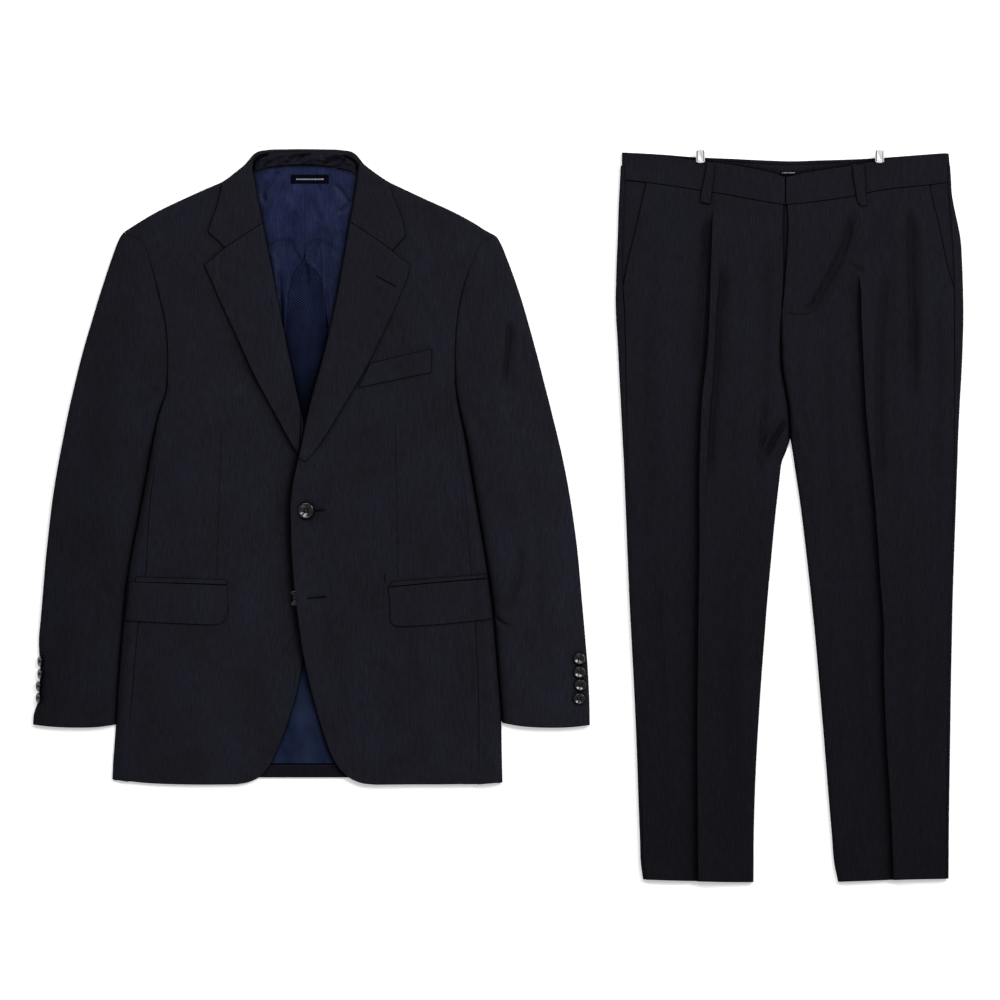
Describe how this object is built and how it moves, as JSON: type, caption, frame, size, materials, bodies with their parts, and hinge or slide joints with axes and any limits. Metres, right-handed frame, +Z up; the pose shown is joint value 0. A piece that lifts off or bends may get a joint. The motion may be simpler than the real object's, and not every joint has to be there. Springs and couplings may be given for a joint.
{
  "type": "two-piece suit",
  "caption": "Tailored suit laid flat: a notch-lapel jacket with flap pockets, buttoned at the waist, beside trousers with slant pockets and pressed creases.",
  "frame": {"origin": "on the surface that the suit lies on, under the middle of its box", "axes": "+X towards the wearer's left, from the jacket to the trousers; +Y towards the collar and the waistband; +Z up, out of the face that shows"},
  "size_m": [1.2094, 0.9528, 0.0126],
  "materials": {
    "suiting": "fine charcoal-navy worsted wool, faintly streaked, with a low sheen",
    "satin": "navy satin lining",
    "patterned_lining": "navy lining with a small woven zigzag",
    "label": "plain dark woven label",
    "button": "polished black",
    "steel": "bright nickel-plated steel"
  },
  "bodies": {
    "root": {"back_left": "suiting", "back_right": "suiting", "side_panel_left": "suiting", "side_panel_right": "suiting", "front_left": "suiting", "front_right": "suiting", "facing_left": "suiting", "facing_right": "suiting", "topsleeve_left": "suiting", "topsleeve_right": "suiting", "undersleeve_left": "suiting", "undersleeve_right": "suiting", "collar": "suiting", "collar_stand": "suiting", "hem_facing": "suiting", "breast_welt": "suiting", "pocket_jet_left": "suiting", "pocket_jet_right": "suiting", "pocket_flap_left": "suiting", "pocket_flap_right": "suiting", "leg_back_left": "suiting", "leg_back_right": "suiting", "leg_front_left": "suiting", "leg_front_right": "suiting", "pocket_bearer_left": "suiting", "pocket_bearer_right": "suiting", "waistband_front_left": "suiting", "waistband_front_right": "suiting", "waistband_back": "suiting", "belt_loop_left": "suiting", "belt_loop_right": "suiting", "lining_yoke": "satin", "lining_side_left": "satin", "lining_side_right": "satin", "lining_centre": "patterned_lining", "neck_label": "label", "waistband_label": "label", "front_button_upper": "button", "front_button_lower": "button", "cuff_button_left_1": "button", "cuff_button_left_2": "button", "cuff_button_left_3": "button", "cuff_button_left_4": "button", "cuff_button_right_1": "button", "cuff_button_right_2": "button", "cuff_button_right_3": "button", "cuff_button_right_4": "button", "hanger_clip_left": "steel", "hanger_clip_right": "steel"}
  },
  "joints": []
}
